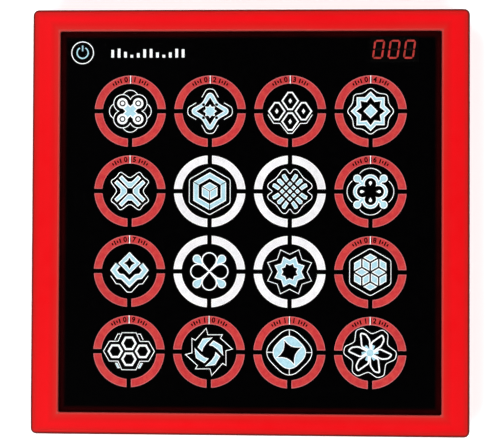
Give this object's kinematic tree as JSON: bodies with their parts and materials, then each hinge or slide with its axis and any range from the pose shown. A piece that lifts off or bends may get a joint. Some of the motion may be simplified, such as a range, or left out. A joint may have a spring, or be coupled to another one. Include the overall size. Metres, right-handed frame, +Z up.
{
  "type": "electronic touch light game",
  "caption": "Flat square electronic game pad: red case, black glass-like touch window with a grid of lit rings and figures, and a small red score display.",
  "frame": {"origin": "under the middle of the case, on the plane that the four rubber feet stand on", "axes": "+Z up out of the touch face, +Y towards the edge with the score display, +X to the player's right"},
  "size_m": [0.203, 0.1976, 0.0235],
  "materials": {
    "red_shell": "satin moulded red ABS",
    "red_back": "red ABS with a fine moulded grain",
    "clear_window": "polished clear acrylic",
    "tape": "black double-sided bonding tape",
    "black_film": "black printed film",
    "ring_red": "translucent red ink, lit from behind",
    "ring_white": "translucent white ink, lit from behind",
    "figure_blue": "translucent pale blue ink, lit from behind",
    "mark_white": "white ink",
    "touch_sheet": "clear conductor film",
    "flex_tail": "amber flexible circuit",
    "connector_white": "natural nylon",
    "baffle_white": "white reflecting ABS",
    "diffuser": "milky acrylic",
    "led": "chip lamp",
    "board_green": "green solder mask",
    "screw_steel": "zinc-plated steel",
    "chip_black": "black moulded package",
    "tin": "tinned metal",
    "capacitor_sleeve": "dark blue sleeve",
    "display_black": "black display shell",
    "segment_lit": "lit red segment",
    "segment_dark": "unlit segment",
    "foot_rubber": "black rubber",
    "cell_jacket": "printed metal-foil cell jacket",
    "spring_steel": "nickel-plated spring steel",
    "lead_red": "PVC insulation",
    "foam_black": "closed-cell foam",
    "speaker_paper": "black paper cone",
    "magnet": "ferrite and plated yoke",
    "knob_black": "black acetal"
  },
  "bodies": {
    "case": {"front_bezel": "red_shell", "window_tape": "tape", "touch_window": "clear_window", "graphic_film": "black_film", "ring_windows_red": "ring_red", "ring_windows_white": "ring_white", "circle_figures": "figure_blue", "ring_pointers": "mark_white", "header_marks": "mark_white", "touch_film": "touch_sheet", "touch_tail": "flex_tail", "touch_connector": "connector_white", "light_baffle": "baffle_white", "ring_light_guides": "diffuser", "figure_diffusers": "diffuser", "ring_leds": "led", "figure_leds": "led", "main_board": "board_green", "board_screws": "screw_steel", "controller_chip": "chip_black", "chip_legs": "tin", "capacitors": "capacitor_sleeve", "crystal_and_resistors": "tin", "display_body": "display_black", "lit_segments": "segment_lit", "dark_segments": "segment_dark", "rear_cover": "red_back", "case_screws": "screw_steel", "rubber_foot_1": "foot_rubber", "rubber_foot_2": "foot_rubber", "rubber_foot_3": "foot_rubber", "rubber_foot_4": "foot_rubber", "battery_cell_1": "cell_jacket", "battery_cell_2": "cell_jacket", "battery_cell_3": "cell_jacket", "contact_plates": "spring_steel", "battery_leads": "lead_red", "contact_spring_1": "spring_steel", "contact_spring_2": "spring_steel", "contact_spring_3": "spring_steel", "speaker_gasket": "foam_black", "speaker_frame": "screw_steel", "speaker_cone": "speaker_paper", "speaker_magnet": "magnet", "speaker_tags": "board_green", "speaker_screws": "screw_steel", "speaker_leads": "lead_red", "switch_can": "tin", "switch_board": "board_green", "switch_screws": "screw_steel", "switch_leads": "lead_red"},
    "battery_door": {"battery_door": "red_back", "door_foam": "foam_black"},
    "door_screw": {"door_screw": "screw_steel"},
    "power_switch": {"switch_knob": "knob_black", "switch_slider": "knob_black"}
  },
  "joints": [
    {"name": "battery_door_hinge", "type": "hinge", "parent": "case", "child": "battery_door", "pos_m": [-0.031, -0.04, 0.0015], "axis": [0, 1, 0], "range_deg": [0, 45]},
    {"name": "door_screw_turn", "type": "hinge", "parent": "battery_door", "child": "door_screw", "pos_m": [0.0268, -0.04, 0.0015], "axis": [0, 0, 1], "continuous": true},
    {"name": "power_switch_slide", "type": "slide", "parent": "case", "child": "power_switch", "axis": [1, 0, 0], "range_m": [-0.002, 0.002]}
  ]
}
